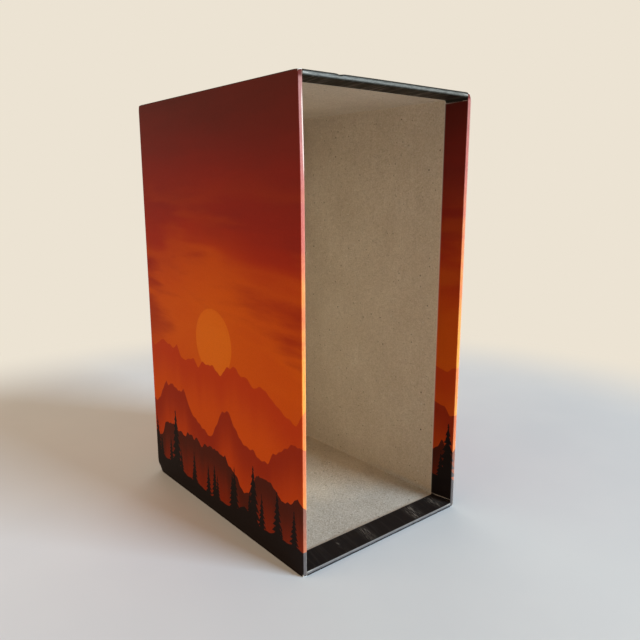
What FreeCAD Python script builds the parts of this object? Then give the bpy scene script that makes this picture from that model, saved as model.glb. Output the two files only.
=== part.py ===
import FreeCAD, Part
import os

# A rigid slipcase-style game box that stands on end with its mouth open to the front.
# Five greyboard panels are bevelled on the seams and glued up, four corner stay tapes
# hold the seams that run from the spine to the mouth, and a printed paper wrap covers
# the outside, goes round the rim of the mouth and is turned in against the boards.
# Millimetres. +Z is up, -Y is the open mouth, and the origin is under the box's centre.

# Driving dimensions: the outside of the finished box.
WIDTH = 101.6
DEPTH = 142.4
HEIGHT = 210.0

# Stock that the box is made of.
BOARD = 2.0
PAPER = 0.15
TAPE = 0.10

# How the wrap and the tapes are cut.
TURN_IN = {"side": 14.0, "top": 13.5, "bottom": 13.5}  # depth of the wrap inside the mouth
TAB = 14.0  # corner tab of an end wrap, down the outside of a side board
INNER_TAB = 7.0  # the same tab where it is turned in
EDGE_GAP = 0.3  # a side wrap's raw edge stops this far short of the corner
# A side wrap's turn-in stops this far short of ceiling and floor, at the rim and at its cut edge.
TRIM = {"top": (1.1, 1.1), "bottom": (1.7, 0.2)}
STAY_LEG = 10.0  # width of a stay tape on each side of its seam
STAY_GAP = 3.0  # a stay tape stops this far short of the mouth and of the spine
RIM_RADIUS = 0.4  # outside radius where the wrap turns over the rim

# Levels counted in from a wall's outer face.
BOARD_OUT = PAPER  # outer face of a board
BOARD_IN = PAPER + BOARD  # inner face of a board
RIM = BOARD_IN + PAPER  # whole thickness at the rim, with the wrap on both sides
PRESSED = 2 * PAPER  # under a tab that the press has sunk into the board

SIDES = ("left", "right")
ENDS = ("top", "bottom")


def point(wall, u, v, w):
    """A point of a wall's own frame: u in from the mouth, v in from the outer face, w along the rim.

    A side's w is the height, an end's w runs across the box from its middle. On the spine,
    u runs across from the middle and w is the height."""
    depth = -DEPTH / 2 + u
    places = {
        "left": (-WIDTH / 2 + v, depth, w),
        "right": (WIDTH / 2 - v, depth, w),
        "top": (w, depth, HEIGHT - v),
        "bottom": (w, depth, v),
        "spine": (u, DEPTH / 2 - v, w),
    }
    return FreeCAD.Vector(*places[wall])


def block(wall, u, v, w):
    """A box in a wall's frame, from its three ranges."""
    a = point(wall, u[0], v[0], w[0])
    b = point(wall, u[1], v[1], w[1])
    low = FreeCAD.Vector(min(a.x, b.x), min(a.y, b.y), min(a.z, b.z))
    return Part.makeBox(abs(a.x - b.x), abs(a.y - b.y), abs(a.z - b.z), low)


def slab(wall, v, outer, inner):
    """A plate between two rectangles, each its u and w ranges, at the two levels v, with bevelled edges."""
    rings = []
    for level, (u, w) in zip(v, (outer, inner)):
        corners = [(u[0], w[0]), (u[1], w[0]), (u[1], w[1]), (u[0], w[1])]
        rings.append([point(wall, a, level, b) for a, b in corners])
    outlines = list(rings)
    for i in range(4):
        outlines.append([rings[0][i - 1], rings[0][i], rings[1][i], rings[1][i - 1]])
    shell = Part.Shell([Part.Face(Part.makePolygon(ring + ring[:1])) for ring in outlines])
    if Part.Solid(shell).Orientation == "Reversed":
        shell.reverse()
    return Part.Solid(shell)


def rim_wrap(wall, layer, back, inside, w):
    """Paper folded round a board's edge at the mouth, as a U-shaped section carried along w.

    layer counts the papers that lie over this one; back is how far the outer leg goes, inside how
    far the turned-in leg goes. The two folds are arcs that nest inside those of the paper above."""
    faces = []
    for level in (layer * PAPER, layer * PAPER + PAPER):
        far = RIM - level
        r = RIM_RADIUS - level
        c = r * (1 - 0.5**0.5)
        faces.append(
            [
                (back, level),
                (level + r, level),
                (level + c, level + c),
                (level, level + r),
                (level, far - r),
                (level + c, far - c),
                (level + r, far),
                (inside, far),
            ]
        )
    edges = []
    for path in faces:
        p = [point(wall, u, v, w[0]) for u, v in path]
        edges += [
            Part.LineSegment(p[0], p[1]),
            Part.Arc(p[1], p[2], p[3]),
            Part.LineSegment(p[3], p[4]),
            Part.Arc(p[4], p[5], p[6]),
            Part.LineSegment(p[6], p[7]),
        ]
    for i in (0, -1):
        ends = [point(wall, *path[i], w[0]) for path in faces]
        edges.append(Part.LineSegment(*ends))
    outline = Part.Wire(Part.__sortEdges__([e.toShape() for e in edges]))
    along = point(wall, 0, 0, w[1]) - point(wall, 0, 0, w[0])
    return Part.Face(outline).extrude(along)


def across(wall):
    """The whole w range of a wall: the height on a side or the spine, the width on an end."""
    return (-WIDTH / 2, WIDTH / 2) if wall in ENDS else (0.0, HEIGHT)


def inset(span, by):
    """A range drawn in by the same amount at both ends."""
    return (span[0] + by, span[1] - by)


def from_end(end, low, high):
    """A range of heights counted in from the outer face of the top or the bottom."""
    return (HEIGHT - high, HEIGHT - low) if end == "top" else (low, high)


def from_side(side, low, high):
    """A range across the box counted in from the outer face of the left or the right."""
    return (-WIDTH / 2 + low, -WIDTH / 2 + high) if side == "left" else (WIDTH / 2 - high, WIDTH / 2 - low)


def make_spine_wrap():
    """The wrap's middle panel, bevelled where it folds into the other four."""
    u, w = (-WIDTH / 2, WIDTH / 2), (0.0, HEIGHT)
    return slab("spine", (0.0, PAPER), (u, w), (inset(u, PAPER), inset(w, PAPER)))


def make_trimming(side, end):
    """The waste cut from a side's turn-in next to an end, a wedge where the cut is slanted."""
    depth = TURN_IN["side"]
    at_rim, at_cut_edge = (RIM + gap for gap in TRIM[end])
    outline = [(RIM_RADIUS, 0.0), (depth, 0.0), (depth, at_cut_edge), (RIM_RADIUS, at_rim)]
    corners = [point(side, u, BOARD_IN, HEIGHT - w if end == "top" else w) for u, w in outline]
    through = point(side, 0, RIM, 0) - point(side, 0, BOARD_IN, 0)
    return Part.Face(Part.makePolygon(corners + corners[:1])).extrude(through)


def make_side_wrap(side, spine_wrap):
    """A side's paper: the outer face, the rim, and a turn-in trimmed short of floor and ceiling."""
    height = inset(across(side), EDGE_GAP)
    wrap = rim_wrap(side, 0, DEPTH, TURN_IN["side"], height)
    for end in ENDS:
        wrap = wrap.cut(make_trimming(side, end))
    return wrap.cut(spine_wrap)


def make_corner_tab(end, side):
    """The end wrap's tab, folded round the corner and pressed into a side board under the side wrap."""
    outside = from_end(end, 0.0, TAB)
    tab = rim_wrap(side, 1, DEPTH - PAPER, TURN_IN[end], outside)
    inner_leg = (BOARD_IN - PAPER, BOARD_IN)
    for waste in (from_end(end, 0.0, BOARD_IN), from_end(end, BOARD_IN + INNER_TAB, TAB)):
        tab = tab.cut(block(side, (RIM_RADIUS, TURN_IN[end]), inner_leg, waste))
    return tab


def make_end_wrap(end, papers_over_it):
    """An end's paper: outer face, rim and turn-in between the side wraps, with a tab at each corner."""
    width = across(end)
    pieces = [rim_wrap(end, 0, DEPTH, TURN_IN[end], inset(width, RIM))]
    for side in SIDES:
        pieces += [
            block(end, (PAPER, DEPTH), (0.0, PAPER), from_side(side, PAPER, RIM)),
            block(end, (RIM_RADIUS, TURN_IN[end]), (BOARD_IN, RIM), from_side(side, BOARD_IN - PAPER, RIM)),
            block(end, (PAPER, PRESSED), (PAPER, RIM), from_side(side, BOARD_IN, RIM + PAPER)),
            make_corner_tab(end, side),
        ]
    return pieces[0].fuse(pieces[1:]).removeSplitter().cut(papers_over_it)


def make_corner_stay(end, side):
    """Gummed tape folded over the outside of one corner seam, under the wrap."""
    run = (STAY_GAP, DEPTH - STAY_GAP)
    on_side = block(side, run, (PRESSED, PRESSED + TAPE), from_end(end, PAPER, PAPER + STAY_LEG))
    on_end = block(end, run, (PAPER, PAPER + TAPE), from_side(side, PRESSED, PRESSED + STAY_LEG))
    return on_side.fuse(on_end).removeSplitter()


def make_wall_board(wall):
    """A side or end panel: bevelled on its three seams, square but eased at the mouth."""
    u, w = (PAPER, DEPTH - BOARD_OUT), inset(across(wall), BOARD_OUT)
    inner = ((u[0], u[1] - BOARD), inset(w, BOARD))
    board = slab(wall, (BOARD_OUT, BOARD_IN), (u, w), inner)
    mouth = point(wall, PAPER, 0, 0).y
    at_mouth = [edge for edge in board.Edges if edge.BoundBox.YMax - mouth < PAPER]
    along_rim = [edge for edge in at_mouth if edge.Length > 2 * BOARD]
    return board.makeFillet(RIM_RADIUS - PAPER, along_rim)


def make_spine_board():
    """The closed back panel, bevelled on all four seams."""
    u, w = inset((-WIDTH / 2, WIDTH / 2), BOARD_OUT), inset((0.0, HEIGHT), BOARD_OUT)
    return slab("spine", (BOARD_OUT, BOARD_IN), (u, w), (inset(u, BOARD), inset(w, BOARD)))


def make_parts():
    """Every piece by name. The boards come last, because the press sinks the papers into them."""
    spine_wrap = make_spine_wrap()
    papers = {"spine_wrap": spine_wrap}
    for side in SIDES:
        papers[f"{side}_wrap"] = make_side_wrap(side, spine_wrap)
    papers_over_ends = list(papers.values())
    for end in ENDS:
        papers[f"{end}_wrap"] = make_end_wrap(end, papers_over_ends)
        for side in SIDES:
            papers[f"corner_stay_{end}_{side}"] = make_corner_stay(end, side)
    boards = {"spine_board": make_spine_board()}
    for wall in SIDES + ENDS:
        boards[f"{wall}_board"] = make_wall_board(wall)
    pressed_in = list(papers.values())
    boards = {name: board.cut(pressed_in) for name, board in boards.items()}
    return {**boards, **papers}


def main():
    os.makedirs("parts", exist_ok=True)
    for name, shape in make_parts().items():
        box = shape.BoundBox
        print(
            f"{name:24s} solids {len(shape.Solids)} valid {shape.isValid()} volume {shape.Volume:9.1f} mm3"
            f"  {box.XLength:.2f} x {box.YLength:.2f} x {box.ZLength:.2f} mm"
        )
        shape.exportStep(f"parts/{name}.step")


main()
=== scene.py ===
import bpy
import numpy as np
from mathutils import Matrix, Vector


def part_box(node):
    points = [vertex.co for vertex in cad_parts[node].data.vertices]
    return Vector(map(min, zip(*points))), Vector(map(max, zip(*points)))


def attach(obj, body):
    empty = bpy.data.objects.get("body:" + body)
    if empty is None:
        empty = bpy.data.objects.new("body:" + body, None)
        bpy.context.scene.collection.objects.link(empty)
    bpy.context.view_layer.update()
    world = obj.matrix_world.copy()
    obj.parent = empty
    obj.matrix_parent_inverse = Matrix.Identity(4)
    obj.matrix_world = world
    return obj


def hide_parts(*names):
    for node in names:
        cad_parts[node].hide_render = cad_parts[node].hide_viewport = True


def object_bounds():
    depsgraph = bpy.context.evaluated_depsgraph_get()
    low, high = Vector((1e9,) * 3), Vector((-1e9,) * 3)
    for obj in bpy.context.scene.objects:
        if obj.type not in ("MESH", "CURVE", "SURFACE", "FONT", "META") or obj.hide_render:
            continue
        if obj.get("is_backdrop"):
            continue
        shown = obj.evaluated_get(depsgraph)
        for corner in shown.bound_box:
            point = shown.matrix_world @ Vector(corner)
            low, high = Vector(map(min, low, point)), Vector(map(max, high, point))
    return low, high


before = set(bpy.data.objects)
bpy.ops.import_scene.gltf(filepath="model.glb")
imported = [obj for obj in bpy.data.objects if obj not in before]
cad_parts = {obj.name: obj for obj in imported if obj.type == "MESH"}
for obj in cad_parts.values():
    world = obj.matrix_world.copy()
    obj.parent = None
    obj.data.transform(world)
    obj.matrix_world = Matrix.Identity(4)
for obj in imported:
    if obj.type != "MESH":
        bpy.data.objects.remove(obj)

# %% [markdown]
# # A rigid game box and its printed paper
# The box is a slipcase that stands on end: five greyboard panels, four strips of corner tape, and a printed
# paper wrap that is turned over the rim of the mouth and glued down inside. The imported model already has
# every piece at its real size, so this lesson only dresses them: it bends the papers round their folds,
# knocks the corners in a little, and prints, laminates and wears the surfaces.
#
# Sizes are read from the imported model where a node's box gives them, as it does for the paper and the board,
# so that the paper still fits if the model changes. Metres are the unit, +Z is up and the mouth faces -Y.

MM = 0.001
cad_low, cad_high = (np.array(corner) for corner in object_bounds())
WIDTH, DEPTH, HEIGHT = cad_high - cad_low


def extent(node):
    """A node's size along X, Y and Z: its highest corner less its lowest."""
    low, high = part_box(node)
    return np.array(high) - np.array(low)


PAPER = extent("spine_wrap")[1]
BOARD = extent("spine_board")[1]
TAPE = 0.10 * MM
RIM = extent("left_wrap")[0]
TAB = extent("top_wrap")[2]
STAY_LEG = extent("corner_stay_top_left")[0]
STAY_GAP = (DEPTH - extent("corner_stay_top_left")[1]) / 2
EDGE_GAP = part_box("left_wrap")[0].z
BOARD_IN = PAPER + BOARD
RIM_RADIUS = 0.4 * MM
print(f"box {WIDTH:.3f} x {DEPTH:.3f} x {HEIGHT:.3f} m, board {BOARD / MM:.2f} mm, paper {PAPER / MM:.2f} mm")

# %% [markdown]
# ## Places on a wall
# Every wall of the box is the same story told in another direction, so the shapes below are worked out in a
# wall's own frame: u runs in from the mouth, v runs in from the wall's outer face, and w runs along the rim.
# One function then puts those numbers where the wall is. Stations along a wall are close together at its
# ends, where the folds are, and wide apart in the middle, where the panel is flat.


# %% From a wall's own frame to the box
def on_wall(wall, u, v, w):
    """Points (x, y, z) for u in from the mouth, v in from the outer face and w along the rim.

    On the sides w is the height, on the ends it is x. The spine has u along x and w as the height."""
    y = cad_low[1] + u
    places = {
        "left": (cad_low[0] + v, y, w),
        "right": (cad_high[0] - v, y, w),
        "top": (w, y, cad_high[2] - v),
        "bottom": (w, y, cad_low[2] + v),
        "spine": (u, cad_high[1] - v, w),
    }
    return np.stack(np.broadcast_arrays(*places[wall]), axis=-1)


def eased(a, b, steps):
    """Stations from a to b that bunch up at both ends: a + (b - a)(1 - cos(pi i / steps)) / 2."""
    return a + (b - a) * (1 - np.cos(np.pi * np.arange(steps + 1) / steps)) / 2


def chain(*runs):
    """Runs of stations one after another, each meeting the next at a shared station."""
    return np.concatenate([runs[0]] + [run[1:] for run in runs[1:]])


print("middle of the left rim", on_wall("left", 0.0, 0.0, HEIGHT / 2))

# %% [markdown]
# ## Knocks
# A carton's corners take the knocks: the board crushes and the paper over it blunts. All the layers at a
# corner move together, so the knock is a field in space that every piece passes through, rather than a dent
# in one mesh. Each knock pushes nearby points towards the inside of the box, and fades with distance as a
# bell curve. A small nick in the top rim and a front corner that leans back are knocks too, with a push and a
# reach of their own.

# %% Corner knocks, one nick in the top rim and one corner that leans back
# A corner's signs in x and y and its end in z, then how deep its knock is and how far it reaches.
CORNER_KNOCKS = {
    (-1, 1, 0): (1.7 * MM, 3.4 * MM),
    (1, 1, 0): (0.8 * MM, 2.4 * MM),
    (-1, -1, 0): (0.25 * MM, 1.4 * MM),
    (1, -1, 0): (0.25 * MM, 1.4 * MM),
    (-1, -1, 1): (0.30 * MM, 1.5 * MM),
    (1, -1, 1): (0.85 * MM, 2.0 * MM),
    (-1, 1, 1): (0.30 * MM, 1.6 * MM),
    (1, 1, 1): (0.60 * MM, 2.0 * MM),
}
NICK_AT = np.array([-0.030, cad_low[1], cad_high[2]])
NICK_PUSH = np.array([0.0, 0.20, -0.35]) * MM
NICK_REACH = 1.2 * MM
LEAN_AT = np.array([cad_low[0], cad_low[1], cad_high[2]])
LEAN_PUSH = np.array([0.0, 1.2, 0.0]) * MM
LEAN_REACH = 28.0 * MM

signs = np.array(list(CORNER_KNOCKS), dtype=float)
corner_points = np.stack(
    [signs[:, 0] * WIDTH / 2, signs[:, 1] * DEPTH / 2, signs[:, 2] * HEIGHT], axis=-1
)
inward = np.stack([-signs[:, 0], -signs[:, 1], 1 - 2 * signs[:, 2]], axis=-1) / np.sqrt(3)
knock_depths, knock_reaches = np.array(list(CORNER_KNOCKS.values())).T
knock_at = np.vstack([corner_points, NICK_AT, LEAN_AT])
knock_push = np.vstack([inward * knock_depths[:, None], NICK_PUSH, LEAN_PUSH])
knock_reach = np.append(knock_reaches, [NICK_REACH, LEAN_REACH])


def knocked(points):
    """Points moved by every knock: p + sum of push * exp(-(distance / reach)^2)."""
    apart = points[:, None, :] - knock_at
    strength = np.exp(-(apart**2).sum(axis=-1) / knock_reach**2)
    return points + strength @ knock_push


print(f"{len(knock_at)} knocks, the deepest {knock_depths.max() / MM:.1f} mm")

# %% [markdown]
# ## A thin piece from two grids
# Paper, tape and board are all thin: a front surface, a back surface a little behind it, and a cut edge all
# the way round. A Solidify modifier could thicken a single surface, but here each face is worked out by
# itself, so a fold keeps its inner and its outer radius and a board keeps its bevels. One function makes
# them all. It takes the two surfaces as grids of points, keeps the cells that the cut leaves (a notch is
# just cells left out), and walls up every border, so that each mesh is closed. The front takes the first
# material, and the back and the cut edge take the second, as on a printed sheet.


# %% The maker of closed pieces
def closed_piece(name, front, back, keep=None, **marks):
    """A closed mesh from a front and a back grid, each (rows, columns, 3), with named marks on the grid.

    Each kept cell gives a front face and, turned round, a back face. A cell side that no other kept cell
    runs along the other way is a border and gets a wall. If the volume that the faces enclose, the sum
    of a . (b x c) / 6 over their triangles, comes out negative, all the faces are turned over."""
    rows, columns = front.shape[:2]
    count = rows * columns
    index = np.arange(count).reshape(rows, columns)
    cells = np.stack([index[:-1, :-1], index[1:, :-1], index[1:, 1:], index[:-1, 1:]], axis=-1)
    cells = cells.reshape(-1, 4) if keep is None else cells[keep]
    start, end = cells.ravel(), np.roll(cells, -1, axis=1).ravel()
    border = ~np.isin(start * count + end, end * count + start)
    a, b = start[border], end[border]
    walls = np.stack([b, a, a + count, b + count], axis=-1)
    faces = np.concatenate([cells, cells[:, ::-1] + count, walls])
    used, faces = np.unique(faces, return_inverse=True)
    faces = faces.reshape(-1, 4)
    points = knocked(np.concatenate([front, back]).reshape(-1, 3)[used])
    p = [points[faces[:, k]] for k in range(4)]
    volume = (p[0] * (np.cross(p[1], p[2]) + np.cross(p[2], p[3]))).sum() / 6
    if volume < 0:
        faces = faces[:, ::-1]
    mesh = bpy.data.meshes.new(name)
    mesh.from_pydata(points.tolist(), [], faces.tolist())
    on_front = np.arange(len(faces)) < len(cells)
    on_wall_faces = np.arange(len(faces)) >= 2 * len(cells)
    mesh.polygons.foreach_set("material_index", np.where(on_front, 0, 1).astype(np.int32))
    mesh.polygons.foreach_set("use_smooth", ~on_wall_faces)
    for mark, grid in marks.items():
        both = np.concatenate([grid, grid]).reshape(2 * count, -1)[used].astype(np.float32)
        kind, field = ("FLOAT", "value") if both.shape[1] == 1 else ("FLOAT_VECTOR", "vector")
        mesh.attributes.new(mark, kind, "POINT").data.foreach_set(field, both.ravel())
    mesh.update()
    piece = bpy.data.objects.new(name, mesh)
    bpy.context.scene.collection.objects.link(piece)
    print(f"{name}: {len(faces)} faces, {abs(volume) / MM**3:.0f} cubic mm")
    return piece


# %% [markdown]
# ## Greyboard panels
# The carcass is a blank of grey recycled board, grooved and folded, so each panel is bevelled where it meets
# its neighbours and square at the mouth. A panel could be a cube with its edges cut, but as two rectangles of
# different size, one for each face, it gets its bevels for nothing. Thick board doesn't fold sharply: inside,
# the two faces run into each other in a soft corner. The outer face is sunk where the press has pushed the
# tape and the paper tabs into it.

# %% Five boards
SOFT_CORNER = 0.5 * MM
SOFT_FROM, SOFT_TO = 14.5 * MM, 24.0 * MM
BEVEL_SHARE = 1 - 0.5**0.5
PRESSED = PAPER + TAPE
PRESSED_SLOPE = 0.5 * MM
MOUTH_STEPS = 4
BOARD_STEPS = {"left": (56, 76), "right": (56, 76), "top": (56, 44), "bottom": (56, 44), "spine": (44, 76)}


def inset(span, by):
    """A range drawn in by the same amount at both ends."""
    return span[0] + by, span[1] - by


def spread(span, share):
    """Places in a range from shares between 0 and 1: low + share * (high - low)."""
    return span[0] + share * (span[1] - span[0])


def along_rim(wall):
    """The whole w range of a wall: x on the ends, the height elsewhere."""
    return (cad_low[0], cad_high[0]) if wall in ("top", "bottom") else (cad_low[2], cad_high[2])


def soft_corner(distance, radius):
    """How far a soft corner stands proud of a face: r - sqrt(r^2 - (r - distance)^2) within its radius r."""
    within = np.clip(radius - distance, 0, None)
    return radius - np.sqrt(radius**2 - within**2)


def soft_radius(wall, u):
    """The soft corner's radius along a seam: none under the turned-in paper, then a smooth rise to it all."""
    t = 1.0 if wall == "spine" else np.clip((u - SOFT_FROM) / (SOFT_TO - SOFT_FROM), 0, 1)
    return SOFT_CORNER * t * t * (3 - 2 * t)


def board_rows(wall, level, steps):
    """u and v of a board's face from the mouth to the spine: a quarter round at the mouth, then flat.

    The round has its centre at the rim's radius, and sin and cos of its angle carry it from the flat of the
    rim to the face. The spine has no mouth, so its rows run straight across it."""
    draw_in = level if level == PAPER else level + BEVEL_SHARE * SOFT_CORNER
    if wall == "spine":
        u = eased(cad_low[0] + draw_in, cad_high[0] - draw_in, steps)
        return u, np.full_like(u, level)
    a = np.linspace(np.pi / 2, 0, MOUTH_STEPS + 1)
    r = RIM_RADIUS - PAPER
    centre = RIM_RADIUS if level == PAPER else RIM - RIM_RADIUS
    toward_face = -1 if level == PAPER else 1
    u = eased(RIM_RADIUS, DEPTH - draw_in, steps)
    mouth = RIM_RADIUS - r * np.sin(a), centre + toward_face * r * np.cos(a)
    return chain(mouth[0], u), chain(mouth[1], np.full_like(u, level))


def greyboard_panel(wall, steps):
    """A board between two faces; w is drawn in by the level v, so the seams come out as 45 degree bevels."""
    share = eased(0, 1, steps[1])[None, :]
    faces = []
    for level in (PAPER, BOARD_IN):
        u, v = (row[:, None] for row in board_rows(wall, level, steps[0]))
        low, high = inset(along_rim(wall), v)
        r = 0.0 if level == PAPER else soft_radius(wall, u)
        w = spread(inset((low, high), BEVEL_SHARE * r), share)
        from_seam = np.minimum(w - low, high - w)
        if level == PAPER:
            sunk = {"spine": 0.0, "top": TAPE, "bottom": TAPE}.get(wall, PRESSED)
            band = STAY_LEG if wall in ("top", "bottom") else TAB
            v = v + sunk * np.clip((band - from_seam) / PRESSED_SLOPE, 0, 1)
        else:
            ends = inset((cad_low[0], cad_high[0]), level) if wall == "spine" else (-DEPTH, DEPTH - level)
            from_spine = np.minimum(u - ends[0], ends[1] - u)
            v = v + np.maximum(soft_corner(from_seam, r), soft_corner(from_spine, SOFT_CORNER))
        faces.append(on_wall(wall, u, v, w))
    across, along = (w, u) if wall in ("top", "bottom") else (u, w)
    on_blank = list(BOARD_STEPS).index(wall) * HEIGHT + along
    blank = np.stack(np.broadcast_arrays(across, on_blank, 0.0), axis=-1)
    return closed_piece(f"{wall}_greyboard", *faces, sheet=blank / MM)


boards = {wall: greyboard_panel(wall, steps) for wall, steps in BOARD_STEPS.items()}

# %% [markdown]
# ## Corner tape, a strip that turns a corner
# Gummed paper tape holds the four seams that run from the spine to the mouth, out of sight under the wrap.
# Tape and tabs lie flat and then turn down through a right angle. Two planes that meet at an edge would do
# from afar, but paper bends rather than breaks. On a flat strip, t is the distance from its middle; the fold
# maps it to a distance across and a distance down, with a small arc between the two. Moving the arc's radius
# gives the strip's other face, so the paper keeps its thickness round the bend.


# %% The fold, and four corner tapes
def turned_down(t, half, radius, offset):
    """Across and down for a strip that is flat out to half and turns down there round an arc.

    The arc's angle is (|t| - flat) / radius up to a right angle; its radius is less by offset on the
    strip's back, and a negative offset is the back of a strip that is folded the other way."""
    flat = half - radius
    beyond = np.abs(t) - flat
    angle = np.clip(beyond / radius, 0, np.pi / 2)
    leg = np.maximum(beyond - radius * np.pi / 2, 0)
    across = np.sign(t) * (np.minimum(np.abs(t), flat) + (radius - offset) * np.sin(angle))
    down = radius - (radius - offset) * np.cos(angle) + leg
    return across, down


TAPE_RADIUS = 0.3 * MM
TAPE_ACROSS_STEPS, TAPE_ALONG_STEPS = 5, 40


def corner_tape(end, side):
    """A tape's section, flat on the end board and turned down the side board, carried along the seam."""
    corner = WIDTH / 2 - 2 * PAPER
    bend = corner - TAPE_RADIUS
    knots = [corner - STAY_LEG, bend, bend + TAPE_RADIUS * np.pi / 2, corner + STAY_LEG]
    t = chain(*[np.linspace(a, b, TAPE_ACROSS_STEPS) for a, b in zip(knots, knots[1:])])
    t, u = np.meshgrid(t, eased(STAY_GAP, DEPTH - STAY_GAP, TAPE_ALONG_STEPS), indexing="ij")
    turn = -1 if side == "left" else 1
    faces = []
    for offset in (0.0, TAPE):
        across, down = turned_down(t, corner, TAPE_RADIUS, offset)
        faces.append(on_wall(end, u, PAPER + down, turn * across))
    return closed_piece(f"stay_tape_{end}_{side}", *faces)


tapes = {(e, s): corner_tape(e, s) for e in ("top", "bottom") for s in ("left", "right")}

# %% [markdown]
# ## The paper round the rim
# At the mouth the wrap goes over the edge of the board: down the outside, round a tight fold, across the rim,
# round a second fold, and in along the inside. That is a profile of five runs in u and v. Every flap of the
# wrap is this profile carried along the rim, so the profile is made once, with its own station numbers, and
# its length along the paper is kept because the print follows the paper and not the box.

# %% The folded profile
FOLD_RADIUS = 0.5 * MM
TURN_IN = {"side": 14.0 * MM, "top": 13.5 * MM, "bottom": 13.5 * MM}
ARC_STEPS, RIM_STEPS, INSIDE_STEPS, FOLD_STEPS = 8, 6, 26, 5
FACE, FIRST_FOLD, ACROSS_RIM, SECOND_FOLD, INSIDE = range(5)


def rim_profile(offset, face_steps, turn_in):
    """Stations (u, v) of the paper round the rim, from the spine fold to the end of the turn-in.

    The printed side has offset 0 and the back has the paper's thickness. Arcs have centre c and radius
    r - offset; the spine fold is the last eighth of a turn, up to the bevel that it shares with the spine."""
    r, f = RIM_RADIUS, FOLD_RADIUS
    b = np.linspace(np.pi / 4, 0, FOLD_STEPS + 1)
    fold = DEPTH - f + (f - offset) * np.sin(b), f - (f - offset) * np.cos(b)
    u = eased(DEPTH - f, r, face_steps)
    face = u, np.full_like(u, offset)
    a = np.linspace(0, np.pi / 2, ARC_STEPS + 1)
    first = r - (r - offset) * np.sin(a), r - (r - offset) * np.cos(a)
    v = np.linspace(r, RIM - r, RIM_STEPS + 1)
    across = np.full_like(v, offset), v
    second = r - (r - offset) * np.cos(a), RIM - r + (r - offset) * np.sin(a)
    u = eased(r, turn_in, INSIDE_STEPS)
    inside = u, np.full_like(u, RIM - offset)
    runs = [fold, face, first, across, second, inside]
    stations = np.stack([chain(*[run[k] for run in runs]) for k in (0, 1)], axis=-1)
    zones = [FACE] * (FOLD_STEPS + face_steps) + [FIRST_FOLD] * ARC_STEPS
    zones += [ACROSS_RIM] * RIM_STEPS + [SECOND_FOLD] * ARC_STEPS + [INSIDE] * INSIDE_STEPS
    return stations, np.array(zones)


def paper_length(stations):
    """Distance along the paper from its first station: the running sum of the steps' lengths."""
    steps = np.linalg.norm(np.diff(stations, axis=0), axis=-1)
    return np.append(0, np.cumsum(steps))


def middle_of(zone, lengths, zones):
    """Where the middle of a zone lies along the paper: halfway between its first and last station."""
    cells = np.flatnonzero(zones == zone)
    return (lengths[cells[0]] + lengths[cells[-1] + 1]) / 2


side_paper = paper_length(rim_profile(0.0, 1, TURN_IN["side"])[0])
print(f"side flap: {side_paper[-1] / MM:.1f} mm of paper from the spine fold to the cut edge")

# %% [markdown]
# ## Rubbed folds
# Print rubs off where the box is handled: along the folds, at the raw edges of the paper and most of all at
# the corners. The distance to the nearest edge and corner is simple arithmetic on the box, so it is worked
# out here for every point and stored on the mesh. The print material reads it later and lets the white of
# the paper through.

# %% The rubbed mark
EDGE_RUB = 0.40 * MM
CORNER_RUB = 1.8 * MM
RAW_EDGE = 0.28 * MM
SIDE_RAW_EDGE = 0.42 * MM


def rubbed(points, fold_distance, from_raw_edge, raw_edge=RAW_EDGE):
    """(edge, corner, raw) marks: bell curves of the distance to a fold or box edge, a corner and a cut edge.

    The three distances to the nearest faces, sorted, give the edge as the length of the two smallest,
    and the corner as the length of all three."""
    gaps = np.minimum(points - cad_low, cad_high - points).clip(0)
    gaps = np.sort(gaps, axis=-1)
    edge = np.minimum(np.linalg.norm(gaps[..., :2], axis=-1), fold_distance)
    corner = np.linalg.norm(gaps, axis=-1)
    distances = np.broadcast_arrays(edge / EDGE_RUB, corner / CORNER_RUB, from_raw_edge / raw_edge)
    return np.exp(-(np.stack(distances, axis=-1) ** 2))


print("marks at a corner of the box", rubbed(cad_high, WIDTH, WIDTH))

# %% [markdown]
# ## Side flaps
# The two side flaps carry the picture. They run the whole height of the box and are cut flush at the top and
# bottom corners, and their turned-in part is trimmed a little short of the floor and the ceiling so that it
# goes in without creasing. The cut next to the floor is slanted. A Boolean could cut the waste away, but it
# leaves ragged faces along the cut. On the grid, the columns at the cuts follow the slant instead, and the
# cells of the turn-in beyond them are dropped.

# %% Two side flaps
SIDE_STEPS, SIDE_FACE_STEPS, TRIM_STEPS = 130, 84, 7
SHORT_OF_CEILING = (1.1 * MM, 1.1 * MM)
SHORT_OF_FLOOR = (1.7 * MM, 0.2 * MM)
TRIM_RUB = (0.25, 1.0)


def fold_distance_of(lengths, zones):
    """Distance along the paper from the middle of the nearer rim fold."""
    middles = [middle_of(fold, lengths, zones) for fold in (FIRST_FOLD, SECOND_FOLD)]
    return np.min([np.abs(lengths - middle) for middle in middles], axis=0)


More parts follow.
